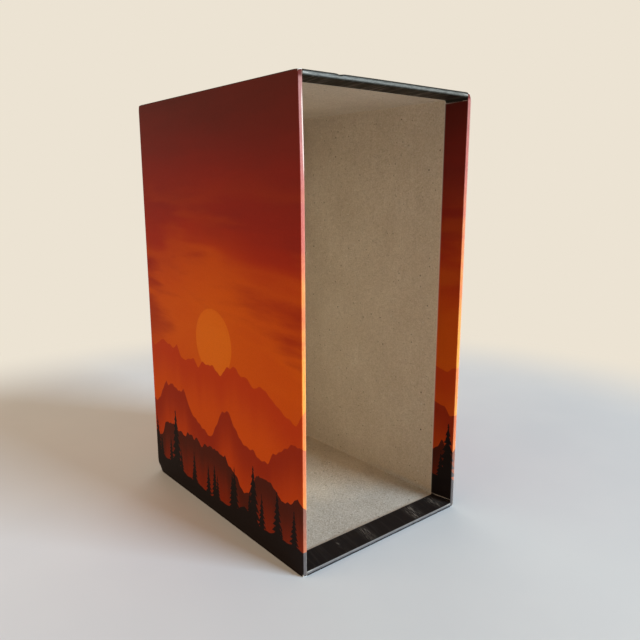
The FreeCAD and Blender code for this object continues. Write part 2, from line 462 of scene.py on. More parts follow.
def side_flap(side):
    """The profile carried up the side: each row is a station of the profile, each column a run of heights.

    A row's heights go through four knots, the two ends of the paper and the two cuts of the turn-in, and
    the cuts move from their place at the rim to their place at the raw edge in step with u."""
    stations, zones = rim_profile(0.0, SIDE_FACE_STEPS, TURN_IN["side"])
    inwards = np.append(zones[0], zones) == INSIDE
    t = np.where(inwards, (stations[:, 0] - RIM_RADIUS) / (TURN_IN["side"] - RIM_RADIUS), 0.0)
    low, high = RIM + spread(SHORT_OF_FLOOR, t), HEIGHT - RIM - spread(SHORT_OF_CEILING, t)
    run = chain(np.linspace(0, 1, TRIM_STEPS), eased(1, 2, SIDE_STEPS), np.linspace(2, 3, TRIM_STEPS))
    knots = [(EDGE_GAP, a, b, HEIGHT - EDGE_GAP) for a, b in zip(low, high)]
    height = np.array([np.interp(run, range(4), row) for row in knots])
    faces = []
    for offset in (0.0, PAPER):
        u, v = rim_profile(offset, SIDE_FACE_STEPS, TURN_IN["side"])[0].T
        faces.append(on_wall(side, u[:, None], v[:, None], height))
    middle = (run[:-1] + run[1:]) / 2
    keep = (zones[:, None] != INSIDE) | ((middle > 1) & (middle < 2))
    lengths = paper_length(stations)
    turn = 1 if side == "left" else -1
    picture_x = turn * (WIDTH / 2 + lengths)
    past_rim = lengths - middle_of(ACROSS_RIM, lengths, zones)
    sheet = np.stack(np.broadcast_arrays(picture_x[:, None], height, past_rim[:, None]), axis=-1)
    from_trim = np.minimum(np.abs(height - low[:, None]), np.abs(high[:, None] - height))
    from_trim = from_trim / spread(TRIM_RUB, t[:, None])
    from_raw_edge = np.minimum(lengths[-1] - lengths[:, None], np.where(inwards[:, None], from_trim, DEPTH))
    rub = rubbed(faces[0], fold_distance_of(lengths, zones)[:, None], from_raw_edge, SIDE_RAW_EDGE)
    return closed_piece(f"{side}_flap", *faces, keep, sheet=sheet / MM, rub=rub)


flaps = {side: side_flap(side) for side in ("left", "right")}

# %% [markdown]
# ## End flaps
# The top and bottom flaps go on first. At each corner they turn down the side board as a tab, which the side
# flap then covers, and inside the mouth the turned-in part turns down the side wall the same way, so a thin
# black strip of it shows above the side flap's turn-in. The panel and its tabs could be meshes of their own,
# but as one sheet they have no gaps at the folds. The sheet is one notched cross: across the rim it is only
# as wide as the gap between the side flaps. The paper bridges the inside corner in a soft curve, because
# nobody can press it right into the corner.

# %% Two end flaps
END_FACE_STEPS = 70
TAB_FOLD = 0.3 * MM
INNER_TAB = 7.0 * MM
INNER_PROUD = 0.08 * MM
INNER_FOLD = {"top": 1.8 * MM, "bottom": 1.1 * MM}
INNER_FOLD_GROWS, INNER_FOLD_START = 3.0 * MM, 0.08
COVERED_FROM = 0.97 * PAPER
# Each crease's place along the rim, slant, width and height, in millimetres.
CREASES = {
    "top": [
        (-30.5, 0.10, 1.0, 0.10),
        (-9.8, 0.12, 1.3, 0.16),
        (11.0, 0.20, 1.0, 0.09),
        (24.2, 0.02, 1.3, 0.16),
    ],
    "bottom": [
        (-25.4, 0.25, 0.35, 0.05),
        (-7.8, 0.16, 2.0, 0.09),
        (24.0, 0.30, 2.6, 0.09),
        (42.0, 0.1, 2.2, 0.08),
    ],
}
CREASE_SCALE = 0.10 * MM
CREASE_HOLD = 0.6


def end_columns(end):
    """Stations across the flat sheet, closest together where the inner and the outer tabs fold."""
    edge = WIDTH / 2
    inner_fold = edge - RIM - INNER_FOLD[end]
    knots = [0, 0.8 * inner_fold, inner_fold, edge - RIM, edge - 1.8 * MM, edge - 0.5 * MM, edge + 0.1 * MM]
    counts = [40, 14, 7, 5, 5, 7]
    runs = [np.linspace(a, b, count) for a, b, count in zip(knots, knots[1:], counts)]
    half = chain(*runs, eased(knots[-1], edge - PAPER + TAB, 10))
    return np.concatenate([-half[:0:-1], half])


def end_keep(zones, t, stations):
    """Which cells the notched sheet has: wide on the outer face, narrow over the rim, with tabs inside."""
    reach = np.abs(t[:-1] + t[1:]) / 2
    gap = WIDTH / 2 - RIM
    widths = {
        FACE: WIDTH / 2 - PAPER + TAB,
        FIRST_FOLD: gap,
        ACROSS_RIM: gap,
        SECOND_FOLD: gap,
        INSIDE: gap + INNER_TAB,
    }
    widest = np.array([widths[zone] for zone in zones])
    over_corner = (zones == FIRST_FOLD) & (stations[1:, 0] > COVERED_FROM)
    widest[over_corner] = WIDTH / 2 - PAPER
    return reach[None, :] < widest[:, None]


def creased(end, t, u, rows):
    """How far creases lift the turned-in paper: the sum of height * exp(-((t - t0 - slant u) / width)^2).

    They fade out at the rim and at the cut edge, where the paper is held."""
    lift = 0.0
    for t0, slant, width, height in CREASES[end]:
        lift = lift + height * MM * np.exp(-(((t - t0 * MM - slant * u) / (width * MM)) ** 2))
    held = np.sin(np.pi * np.clip(u / TURN_IN[end], 0, 1)) ** CREASE_HOLD
    return np.where(rows, lift * held, 0.0)


def end_flap(end):
    """The profile carried across the end, with the sheet's far columns turned down as tabs.

    On the outer face the tabs fold over the box's corner; inside, the fold is the other way and its radius
    grows from the rim inwards, because the paper bridges the corner."""
    t = end_columns(end)
    faces = []
    for offset in (0.0, PAPER):
        stations, zones = rim_profile(offset, END_FACE_STEPS, TURN_IN[end])
        u, v = stations[:, :1], stations[:, 1:]
        inside = np.append(zones[0], zones)[:, None] == INSIDE
        grown = np.clip((u - RIM_RADIUS) / INNER_FOLD_GROWS, INNER_FOLD_START, 1)
        half = np.where(inside, WIDTH / 2 - BOARD_IN - INNER_PROUD, WIDTH / 2 - PAPER)
        radius = np.where(inside, INNER_FOLD[end] * grown, TAB_FOLD)
        shift = np.where(inside, -offset, offset)
        across, down = turned_down(t[None, :], half, radius, shift)
        crease = creased(end, t[None, :], u, inside)
        faces.append(on_wall(end, u, v + down - shift + crease, across))
    stations = rim_profile(0.0, END_FACE_STEPS, TURN_IN[end])[0]
    lengths = paper_length(stations)
    past_rim = lengths - middle_of(ACROSS_RIM, lengths, zones)
    sheet = np.stack(np.broadcast_arrays(t[None, :], lengths[:, None], past_rim[:, None]), axis=-1)
    rub = rubbed(faces[0], fold_distance_of(lengths, zones)[:, None], lengths[-1] - lengths[:, None])
    keep = end_keep(zones, t, stations)
    return closed_piece(f"{end}_flap", *faces, keep, sheet=sheet / MM, rub=rub, crease=crease / CREASE_SCALE)


flaps.update({end: end_flap(end) for end in ("top", "bottom")})

# %% [markdown]
# ## Spine panel
# The middle of the sheet covers the spine, and all four flaps fold away from it. It is a flat rectangle whose
# edges round over by an eighth of a turn, where each flap's own eighth takes up the fold. A Bevel modifier
# would round the edges too, but the two halves of a fold have to meet, so both are made with the same arc.

# %% The spine panel
SPINE_STEPS = {"across": 60, "up": 110}


def rounded_span(half, steps, offset):
    """Stations across a panel with rounded edges: place and drop, flat to half - radius, then an arc."""
    flat = half - FOLD_RADIUS
    a = np.linspace(0, np.pi / 4, FOLD_STEPS + 1)
    out = flat + (FOLD_RADIUS - offset) * np.sin(a)
    drop = (FOLD_RADIUS - offset) * (1 - np.cos(a))
    middle = eased(-flat, flat, steps)
    place = chain(-out[::-1], middle, out)
    return place, chain(drop[::-1], np.zeros_like(middle), drop)


def spine_panel():
    """A rectangle whose depth is the paper's offset plus the drop of its rounded edges both ways."""
    faces = []
    for offset in (0.0, PAPER):
        x, drop_x = rounded_span(WIDTH / 2, SPINE_STEPS["across"], offset)
        z, drop_z = rounded_span(HEIGHT / 2, SPINE_STEPS["up"], offset)
        v = offset + drop_x[:, None] + drop_z[None, :]
        faces.append(on_wall("spine", x[:, None], v, HEIGHT / 2 + z[None, :]))
    front = faces[0]
    sheet = np.stack([-front[..., 0], front[..., 2], np.full(front.shape[:2], -DEPTH)], axis=-1)
    rub = rubbed(front, WIDTH, WIDTH)
    return closed_piece("spine_panel", *faces, sheet=sheet / MM, rub=rub)


flaps["spine"] = spine_panel()

# %% [markdown]
# ## Writing materials as arithmetic
# Blender's node editor draws formulas as boxes and wires. In a script it is easier to write the formula: here
# an Amount is the output of a node, and adding or multiplying two Amounts adds the Math node that does it.
# The Recipe holds one node tree and a handful of ingredients: noise, colour mixing and soft steps.


# %% Inks and amounts
def ink(red, green, blue):
    """An 8-bit screen colour as the linear colour that a shader takes."""
    share = np.array([red, green, blue]) / 255
    linear = np.where(share <= 0.04045, share / 12.92, ((share + 0.055) / 1.055) ** 2.4)
    return (*linear.tolist(), 1.0)


print(f"a grey of 128 out of 255 is {ink(128, 128, 128)[0]:.3f} of white in linear light")


class Amount:
    """One number of a material at each point. Arithmetic on Amounts writes Math nodes."""

    def __init__(self, recipe, socket):
        self.recipe, self.socket = recipe, socket

    def __add__(self, other):
        return self.recipe.math("ADD", self, other)

    def __sub__(self, other):
        return self.recipe.math("SUBTRACT", self, other)

    def __rsub__(self, other):
        return self.recipe.math("SUBTRACT", other, self)

    def __mul__(self, other):
        return self.recipe.math("MULTIPLY", self, other)

    def __truediv__(self, other):
        return self.recipe.math("DIVIDE", self, other)

    __radd__, __rmul__ = __add__, __mul__


# %% Recipes
class Recipe:
    """The node tree of a material or of the world, with a method for each ingredient."""

    def __init__(self, holder):
        holder.use_nodes = True
        self.holder, self.tree = holder, holder.node_tree
        self.tree.nodes.clear()

    def node(self, kind, inputs, **settings):
        """A node with its settings made and its inputs either set or wired up."""
        made = self.tree.nodes.new(kind)
        for key, value in settings.items():
            setattr(made, key, value)
        for key, value in inputs.items():
            value = value.socket if isinstance(value, Amount) else value
            if isinstance(value, bpy.types.NodeSocket):
                self.tree.links.new(value, made.inputs[key])
            else:
                made.inputs[key].default_value = value
        return made

    def math(self, operation, *terms):
        """One step of arithmetic on Amounts or numbers."""
        made = self.node("ShaderNodeMath", dict(enumerate(terms)), operation=operation)
        return Amount(self, made.outputs[0])

    def vector(self, x, y, z):
        """Three numbers put together as a place for noise to be read at."""
        return self.node("ShaderNodeCombineXYZ", {0: x, 1: y, 2: z}).outputs[0]

    def parts(self, vector):
        """The three numbers of a vector as Amounts."""
        return [Amount(self, out) for out in self.node("ShaderNodeSeparateXYZ", {0: vector}).outputs]

    def mark(self, name):
        """A mark that was stored on the mesh, as its three numbers."""
        return self.parts(self.node("ShaderNodeAttribute", {}, attribute_name=name).outputs["Vector"])

    def number(self, name):
        """A mark of a single number."""
        return Amount(self, self.node("ShaderNodeAttribute", {}, attribute_name=name).outputs["Fac"])

    def place(self):
        """The point in the box's frame, in millimetres."""
        where = self.node("ShaderNodeTexCoord", {}).outputs["Object"]
        scaled = self.node("ShaderNodeVectorMath", {0: where, 3: 1 / MM}, operation="SCALE")
        return scaled.outputs[0]

    def noise(self, vector, scale, detail=2.0, roughness=0.5, distortion=0.0):
        """Cloudy noise from 0 to 1, with scale in patches per millimetre."""
        inputs = {"Vector": vector, "Scale": scale, "Detail": detail, "Roughness": roughness}
        inputs["Distortion"] = distortion
        return Amount(self, self.node("ShaderNodeTexNoise", inputs).outputs[0])

    def line_noise(self, w, detail=2.0, roughness=0.5):
        """Noise along a single line, from 0 to 1."""
        inputs = {"W": w, "Scale": 1.0, "Detail": detail, "Roughness": roughness}
        return Amount(self, self.node("ShaderNodeTexNoise", inputs, noise_dimensions="1D").outputs[0])

    def dice(self, w):
        """A random number from 0 to 1 for each value of w."""
        return Amount(self, self.node("ShaderNodeTexWhiteNoise", {"W": w}, noise_dimensions="1D").outputs[0])

    def step(self, amount, low, high):
        """A soft step: 0 below low, 1 above high, a smooth rise between. High below low turns it round."""
        inputs = {"Value": amount, 1: low, 2: high}
        made = self.node("ShaderNodeMapRange", inputs, interpolation_type="SMOOTHSTEP")
        return Amount(self, made.outputs[0])

    def mix(self, share, first, second):
        """Two colours mixed by a share from 0 to 1."""
        made = self.node("ShaderNodeMix", {0: share, 6: first, 7: second}, data_type="RGBA")
        return made.outputs[2]

    def ramp(self, amount, stops):
        """A run of colours, each at its place from 0 to 1."""
        made = self.node("ShaderNodeValToRGB", {0: amount})
        band = made.color_ramp
        while len(band.elements) < len(stops):
            band.elements.new(0.5)
        for element, (position, colour) in zip(band.elements, stops):
            element.position, element.color = position, colour
        return made.outputs[0]

    def spots(self, vector, scale, size):
        """Sparse specks: 1 in a speck's middle, 0 away from it, sized by its cell; and its cell's chance."""
        inputs = {"Vector": vector, "Scale": scale}
        cell = self.node("ShaderNodeTexVoronoi", inputs, voronoi_dimensions="2D")
        distance = Amount(self, cell.outputs["Distance"])
        chance = self.parts(cell.outputs["Color"])
        return self.step(distance, chance[0] * size, chance[0] * size * 0.5), chance[1]

    def surface(self, colour, roughness, height, relief, **constants):
        """Colour and roughness that vary, a bump of height times relief in millimetres, and constants."""
        bump = self.node("ShaderNodeBump", {"Height": height, "Strength": 1.0, "Distance": relief * MM})
        inputs = {"Base Color": colour, "Roughness": roughness, "Normal": bump.outputs[0]}
        inputs.update(constants)
        return self.node("ShaderNodeBsdfPrincipled", inputs).outputs[0]

    def finish(self, shader, output="ShaderNodeOutputMaterial"):
        """The shader wired to the tree's output, and what the tree belongs to."""
        self.node(output, {"Surface": shader})
        print(f"{self.holder.name}: {len(self.tree.nodes)} nodes")
        return self.holder


# %% [markdown]
# ## Greyboard
# Greyboard is pulped waste paper: a warm grey felt of short fibres with flecks of old print in it, dark and
# light. A tiled picture of board would show its repeats, so it is made of noise here. Three things make it
# read as board rather than as grey paint: a soft mottle as wide as a fingertip, a fine fibre grain that also
# roughens the surface, and sparse specks of different sizes. The floor turns a darker, cooler grey towards the
# mouth: partly rubbing, where things slide in, and partly painted shade and painted cool light. A faint sheen
# stands for the fluff on the fibres.

# %% The greyboard material
BOARD_SHADES = [(0.35, ink(181, 160, 136)), (0.50, ink(201, 180, 155)), (0.65, ink(219, 201, 180))]
# Darker, cooler shades for the floor near the mouth: partly rubbing, partly painted shade and cool light.
RUB_AND_SHADE_TONES = [(0.39, ink(165, 152, 137)), (0.50, ink(185, 172, 157)), (0.61, ink(204, 195, 184))]
RUB_AND_SHADE_LEVELS, RUB_AND_SHADE_DEPTHS, RUB_AND_SHADE_RAGGED = (6.0, 3.0), (0.0, -46.0), 40.0
SPECK_DARK, SPECK_PALE = ink(70, 58, 44), ink(226, 220, 208)
# Each kind of speck: a shift of its cells, the cells in a millimetre, a colour and a strength.
SPECKS = [(0.0, 0.085, SPECK_DARK, 1.0), (47.0, 0.19, SPECK_DARK, 0.6), (91.0, 0.13, SPECK_PALE, 0.6)]
SPECK_SIZE, SPECK_CHANCE = 0.66, (0.35, 1.0)
BOARD_RELIEF = 0.36
FLUFF = {"Specular IOR Level": 0.2, "Sheen Weight": 0.1, "Sheen Roughness": 0.45}


def greyboard():
    """A tone, the weighted sum of four noises, looked up in a run of shades, with fibres and specks over it.

    On the floor, darker and cooler shades come in by a soft step of the depth that the mottle makes ragged:
    partly rubbing and partly painted shade and painted cool light."""
    r = Recipe(bpy.data.materials.new("greyboard"))
    p = r.place()
    across, along, _ = r.mark("sheet")
    mottle = r.noise(p, 0.04, 2.0, 0.5)
    grain = r.noise(p, 1.2, 4.0, 0.75)
    lumps = r.noise(p, 0.45, 3.0, 0.6)
    streaks = r.noise(r.vector(across, along * 0.07, 0.0), 0.28, 4.0, 0.6)
    threads = r.noise(p, 0.5, 3.0, 0.6, 1.2)
    fibre = r.step(r.math("ABSOLUTE", threads - 0.5), 0.025, 0.0) * r.step(r.noise(p, 0.22), 0.45, 0.65)
    tone = grain * 0.66 + streaks * 0.08 + lumps * 0.10 + mottle * 0.16
    _, y, z = r.parts(p)
    on_floor = r.step(z, *RUB_AND_SHADE_LEVELS)
    # Painted shade and cool light, partly rubbing: the floor turns darker and cooler towards the mouth.
    rub_and_shade = on_floor * r.step(y + (mottle - 0.5) * RUB_AND_SHADE_RAGGED, *RUB_AND_SHADE_DEPTHS)
    colour = r.mix(rub_and_shade, r.ramp(tone, BOARD_SHADES), r.ramp(tone, RUB_AND_SHADE_TONES))
    colour = r.mix(fibre * 0.18, colour, BOARD_SHADES[-1][1])
    for shift, scale, speck, strength in SPECKS:
        spot, chance = r.spots(r.vector(across + shift, along, 0.0), scale, SPECK_SIZE * scale)
        colour = r.mix(spot * r.step(chance, *SPECK_CHANCE) * strength, colour, speck)
    height = grain + lumps * 0.5 + fibre * 0.2
    return r.finish(r.surface(colour, 0.92, height, BOARD_RELIEF, **FLUFF))


greyboard_material = greyboard()

# %% [markdown]
# ## Stay tape and bare paper
# The tape is brown gummed kraft, streaked along its length by the paper machine. The back and the cut edge of
# the printed sheet are plain white paper, which only shows as a hairline where the sheet was trimmed. Both
# are fibrous paper in different shades, so one function makes them.

# %% Tape and paper
KRAFT_DARK, KRAFT_PALE = ink(150, 112, 74), ink(184, 146, 104)
PAPER_SHADE, PAPER_WHITE = ink(206, 200, 190), ink(232, 228, 220)


def fibrous_paper(name, dark, pale, stretch):
    """Paper with a fibre grain drawn out along Y by the stretch."""
    r = Recipe(bpy.data.materials.new(name))
    x, y, z = r.parts(r.place())
    along = r.vector(x, y * stretch, z)
    streaks = r.noise(along, 0.8, 4.0, 0.6)
    grain = r.noise(r.place(), 2.0, 3.0, 0.6)
    colour = r.mix(r.step(streaks * 0.6 + grain * 0.4, 0.3, 0.7), dark, pale)
    return r.finish(r.surface(colour, 0.8, grain, 0.05))


kraft_material = fibrous_paper("kraft_tape", KRAFT_DARK, KRAFT_PALE, 0.1)
paper_material = fibrous_paper("bare_paper", PAPER_SHADE, PAPER_WHITE, 0.6)

# %% [markdown]
# ## The picture on the wrap
# The side flaps and the spine share one printed picture, a sunset over hills, which runs right round the box:
# its x is the distance along the paper, so it carries on over the rim and into the mouth. An image would be
# the usual way to print it, but formulas stay sharp from close up and need no file. Each layer is a formula:
# the sky is a run of colours pushed about by noise, a ridge is the area under a noisy line, and a fir tree
# is a triangle with a saw-toothed edge, one to each cell of the ground, at a height drawn by dice.

# %% Sky, sun and clouds
SKY = [
    (0.00, ink(188, 72, 11)),
    (0.34, ink(192, 76, 10)),
    (0.46, ink(188, 73, 10)),
    (0.55, ink(178, 61, 12)),
    (0.64, ink(155, 41, 16)),
    (0.74, ink(130, 33, 21)),
    (0.87, ink(106, 31, 23)),
    (1.00, ink(82, 29, 22)),
]
CLOUD_DARK, CLOUD_LIT = ink(134, 34, 14), ink(202, 92, 13)
SUN_X, SUN_HEIGHT, SUN_RADIUS = 122.0, 92.0, 17.0
SUN_CORE, SUN_GLOW, SUN_EDGE, GLOW_REACH = ink(212, 108, 20), ink(200, 88, 11), 0.3, (66, 8)
SKY_DRIFT, SKY_BRUSH = 58, 9
CLOUDS_FROM, CLOUDS_TO = (64, 96), (178, 128)


def sunset_sky(r, x, z):
    """Colours by height, shifted by long soft noise, with a low sun and brushed bands of cloud along x."""
    drift = r.noise(r.vector(x * 0.30, z, 0.0), 0.022, 4.0, 0.5)
    brush = r.noise(r.vector(x * 0.16, z, 9.0), 0.30, 4.0, 0.6)
    colour = r.ramp((z + (drift - 0.5) * SKY_DRIFT + (brush - 0.5) * SKY_BRUSH) / (HEIGHT / MM), SKY)
    off_x, off_z = x - SUN_X, z - SUN_HEIGHT
    from_sun = r.math("SQRT", off_x * off_x + off_z * off_z)
    colour = r.mix(r.step(from_sun, *GLOW_REACH) * 0.5, colour, SUN_GLOW)
    disc = r.step(from_sun, SUN_RADIUS + SUN_EDGE, SUN_RADIUS - SUN_EDGE)
    colour = r.mix(disc * 0.75, colour, SUN_CORE)
    bank = r.noise(r.vector(x * 0.22, z, 40.0), 0.034, 3.0, 0.45, 0.35) + (brush - 0.5) * 0.10
    between = r.step(z, *CLOUDS_FROM) * r.step(z, *CLOUDS_TO)
    lining = r.step(bank, 0.44, 0.54) * r.step(bank, 0.64, 0.54)
    colour = r.mix(lining * between * 0.30, colour, CLOUD_LIT)
    return r.mix(r.step(bank, 0.52, 0.66) * between * 0.62, colour, CLOUD_DARK)


# %% Hills and fir trees
HILLS = [
    {"base": 46, "rise": 38, "span": 74, "seed": 3.1, "face": ink(174, 54, 13), "mist": ink(198, 78, 11)},
    {"base": 27, "rise": 33, "span": 58, "seed": 11.7, "face": ink(142, 40, 14), "mist": ink(188, 66, 12)},
    {"base": 9, "rise": 27, "span": 46, "seed": 21.4, "face": ink(72, 27, 16), "mist": ink(140, 42, 14)},
]
MIST_DEPTH = 30.0
GROUND = {"base": 0, "rise": 15, "span": 70, "seed": 31.9}
FIR_INK = ink(27, 20, 18)
FIR_ROWS = [
    {"cell": 13.0, "low": 9.0, "high": 22.0, "seed": 5.0},
    {"cell": 21.0, "low": 16.0, "high": 38.0, "seed": 47.0},
]
FIR_SLOPE, FIR_TIERS, FIR_SCATTER, FIR_ROOT = 0.21, 8.0, 0.4, 2.0
BOUGH_DEPTH, BOUGH_FRAY = 0.55, 1.6
RIDGE_EDGE = (-0.15, 0.15)


def crest(r, x, hill, detail=4.0):
    """A ridge line: base + rise * (1 - |2 noise - 1|), sharp at its peaks and soft in its valleys."""
    wave = r.line_noise(x / hill["span"] + hill["seed"], detail, 0.5)
    return hill["base"] + hill["rise"] * (1.0 - r.math("ABSOLUTE", wave * 2.0 - 1.0))


def firs(r, x, z, ragged, row):
    """One fir to a cell: |x - middle| < slope * tall * (1 - t) * saw(t), with t the share of its height.

    The ragged noise frays the edge of the boughs."""
    cell = r.math("FLOOR", x / row["cell"])
    tall = row["low"] + (row["high"] - row["low"]) * r.dice(cell + row["seed"])
    middle = (cell + 0.5 + (r.dice(cell + row["seed"] + 100.0) - 0.5) * FIR_SCATTER) * row["cell"]
    t = (z - crest(r, middle, GROUND) + FIR_ROOT) / tall
    saw = 1.0 - BOUGH_DEPTH * r.math("FRACT", t * FIR_TIERS)
    half = FIR_SLOPE * tall * (1.0 - t) * saw + (ragged - 0.5) * BOUGH_FRAY
    inside = r.step(half - r.math("ABSOLUTE", x - middle), 0.0, 0.2)
    return inside * r.step(t, 1.0, 0.98) * r.step(t, -0.2, 0.0)


def hills_and_firs(r, x, z, colour):
    """Each hill covers what is behind it, and pales towards its foot as if mist lay there."""
    for hill in HILLS:
        below = crest(r, x, hill) - z
        face = r.mix(r.step(below, 2.0, MIST_DEPTH) * 0.8, hill["face"], hill["mist"])
        colour = r.mix(r.step(below, *RIDGE_EDGE), colour, face)
    colour = r.mix(r.step(crest(r, x, GROUND) - z, *RIDGE_EDGE), colour, FIR_INK)
    ragged = r.noise(r.vector(x, z, 0.0), 0.9, 3.0, 0.6)
    for row in FIR_ROWS:
        colour = r.mix(firs(r, x, z, ragged, row), colour, FIR_INK)
    return colour


# %% [markdown]
# ## Laminated print
# The printed sheet is covered with a thin matt film. On the rim of the mouth the ink is paler, in streaks, and
# the film is polished there. The paler ink is partly handling that rubs it thin and partly painted highlight,
# standing for the strong light that the rim catches. It could be painted as a pale stripe, but rubbed ink
# keeps its hue, so the ink's own colour is raised to a power instead. White paper shows along one line of each
# rim, partly rubbed and partly painted highlight: the inner fold of the left rim where a hand holds it, the
# outer fold of the right rim, which faces the light, the inner fold of the bottom rim and the two ends of the
# top rim. The board's grain comes through as a slight orange peel. The picture and the black ends share this
# finish, so it is one function that takes the ink's colour. The polish is a clear coat whose weight follows
# the rim; how rough that coat is stays the same all over.

# %% Film, polish and rubbed folds
# White paper for rubbed edges and corners, raw edges and the rim's white line, which is partly painted
# highlight.
RUB_AND_HIGHLIGHT_WHITE = ink(228, 212, 196)
PALING_POWER = 0.53
# The paled band's middle, half width and end, and its white line, in millimetres from the middle of the rim;
# how streaky the band is; how white the line is all along and where it is held; the polish. Band and line are
# partly rubbing and partly painted highlight, and the held share also stands for where the rim catches light.
WEAR_AND_HIGHLIGHT_COLUMNS = ("centre", "half", "soft", "fold", "streaky", "whitening", "held", "polish")
WEAR_AND_HIGHLIGHT_ROWS = {
    "side": (0.20, 0.85, 1.15, 0.70, 0.40, 0.06, 0.6, 0.08),
    "top": (0.05, 0.20, 0.80, 0.05, 0.95, 0.02, 0.2, 0.06),
    "bottom": (0.30, 0.22, 0.85, 0.80, 0.80, 0.13, 0.2, 0.40),
}
RIM_WEAR_AND_HIGHLIGHT = {wall: dict(zip(WEAR_AND_HIGHLIGHT_COLUMNS, row)) for wall, row in WEAR_AND_HIGHLIGHT_ROWS.items()}
FOLD_SOFT = 0.45
PALE_SHARE_BASE, PALE_SHARE_STRETCHES = 0.72, 0.30
CORNER_WEIGHT, CORNER_LESS, CORNER_HEIGHTS = 0.50, 0.22, (60.0, 200.0)
EDGE_WEIGHT, PATCH_WEIGHT, RUB_STEP = 0.30, 0.60, (0.74, 1.08)
RUB_WHITE, RAW_WHITE = 0.75, 0.95
FILM_RELIEF = 0.03


def worn_and_highlight_line(r, past_rim, wear_and_highlight, handled_and_lit):
    """White paper along one line of the rim, in patches, and most where hands hold the box and where the rim
    faces the light: partly rubbing and partly painted highlight.

    A soft step of the distance from the line, times the sum of a patchy share and one where it is held and
    lit."""
    line = r.step(r.math("ABSOLUTE", past_rim - wear_and_highlight["fold"]), FOLD_SOFT, 0.0)
    patchy = 0.4 + r.noise(r.place(), 0.8, 4.0, 0.65)
    return line * (wear_and_highlight["whitening"] * patchy + wear_and_highlight["held"] * handled_and_lit)


def laminated(r, colour, along, past_rim, wear_and_highlight, reach, worn_and_highlight):
    """The print under its film: ink grain, a paled rim, rubbed folds, a white line, polish and a low bump.

    past_rim is the distance along the paper from the middle of the rim, in millimetres, and the rim's band
    is a soft step of it, times reach, which is less than one where the band stops short. The paled ink is
    the ink's colour to a power below one, which pales it and keeps its hue. The paled band and the white line
    are partly rubbing and partly painted highlight for the light the rim catches. White shows by the largest
    of the rubbed share, the raw edge's share and the white line's share."""
    p = r.place()
    edge, corner, raw = r.mark("rub")
    patches = r.noise(p, 0.8, 4.0, 0.65)
    grain = r.noise(p, 1.6, 4.0, 0.7)
    stretches = r.noise(p, 0.07, 3.0, 0.6)
    streaks = r.step(r.noise(r.vector(along * 0.30, past_rim * 2.8, 0.0), 0.8, 5.0, 0.7), 0.38, 0.62)
    colour = r.mix(r.step(grain, 0.35, 0.75) * 0.10, colour, ink(0, 0, 0))
    # The paled band on the rim: partly ink rubbed thin, partly painted highlight for the light the rim
    # catches.
    band = r.step(r.math("ABSOLUTE", past_rim - wear_and_highlight["centre"]), wear_and_highlight["soft"], wear_and_highlight["half"]) * reach
    paled_ink = r.node("ShaderNodeGamma", {"Color": colour, "Gamma": PALING_POWER}).outputs[0]
    share = PALE_SHARE_BASE + PALE_SHARE_STRETCHES * stretches + wear_and_highlight["streaky"] * (streaks - 0.5)
    colour = r.mix(band * share, colour, paled_ink)
    corner = corner * (CORNER_WEIGHT - CORNER_LESS * r.step(r.parts(p)[2], *CORNER_HEIGHTS))
    rub = r.step(edge * EDGE_WEIGHT + corner + patches * PATCH_WEIGHT, *RUB_STEP)
    white = r.math("MAXIMUM", r.math("MAXIMUM", rub * RUB_WHITE, raw * RAW_WHITE), worn_and_highlight)
    colour = r.mix(white, colour, RUB_AND_HIGHLIGHT_WHITE)
    roughness = 0.42 + 0.12 * patches + 0.2 * rub
    height = r.noise(p, 0.5, 3.0, 0.5) * 0.7 + grain * 0.15
    film = {"Specular IOR Level": 0.03, "Coat Roughness": 0.30, "Coat Weight": band * wear_and_highlight["polish"]}
    return r.finish(r.surface(colour, roughness, height, FILM_RELIEF, **film))


# %% The printed picture and the black ends
# Where the left rim's white line is strongest, and how strong it is all along the right rim: partly where
# hands hold the box, partly painted highlight where the rim catches the light.
HELD_AND_LIT_LOW, HELD_AND_LIT_HIGH, RIGHT_HELD_AND_LIT = (168.0, 178.0), (206.0, 197.0), 0.15
# The side rims' paled band stops short of the top corners: painted shade, where the corner leans back out of
# the light. The end rims' white line grows towards their ends: painted highlight.
RIM_STOPS, RIM_ENDS, STROKE_ENDS = (208.2, 206.4), (43.0, 47.5), (48.0, 45.5)
END_INK, END_GLOW = {"top": ink(35, 31, 25), "bottom": ink(33, 28, 27)}, ink(62, 27, 22)
OUTSIDE, TURNED_IN = (-4.0, -50.0), (0.4, 2.0)


def picture_print():
    """The sunset under its film; the left flap has x above 0, and on the right the white line is mirrored.

    The white line is partly rubbing and partly painted highlight; on the right it lies on the outer fold,
    which faces the light.
    """
    r = Recipe(bpy.data.materials.new("sunset_print"))
    x, z, past_rim = r.mark("sheet")
    picture = hills_and_firs(r, x, z, sunset_sky(r, x, z))
    left = r.step(x, -1.0, 1.0)
    # The held share: partly where hands hold the left rim, partly painted highlight where the rims catch
    # light.
    handled_and_lit = left * r.step(z, *HELD_AND_LIT_LOW) * r.step(z, *HELD_AND_LIT_HIGH) + (1.0 - left) * RIGHT_HELD_AND_LIT
    worn_and_highlight = worn_and_highlight_line(r, past_rim * (2.0 * left - 1.0), RIM_WEAR_AND_HIGHLIGHT["side"], handled_and_lit)
    return laminated(r, picture, z, past_rim, RIM_WEAR_AND_HIGHLIGHT["side"], r.step(z, *RIM_STOPS), worn_and_highlight)


def strokes(r, t, past_rim, lean, scale):
    """Fine lines that run in from the rim: noise drawn out along the paper, with a soft threshold."""
    drawn_out = r.vector(t - lean * past_rim, past_rim * 0.06, 0.0)
    return r.step(r.noise(drawn_out, scale, 3.0, 0.6), 0.51, 0.64)


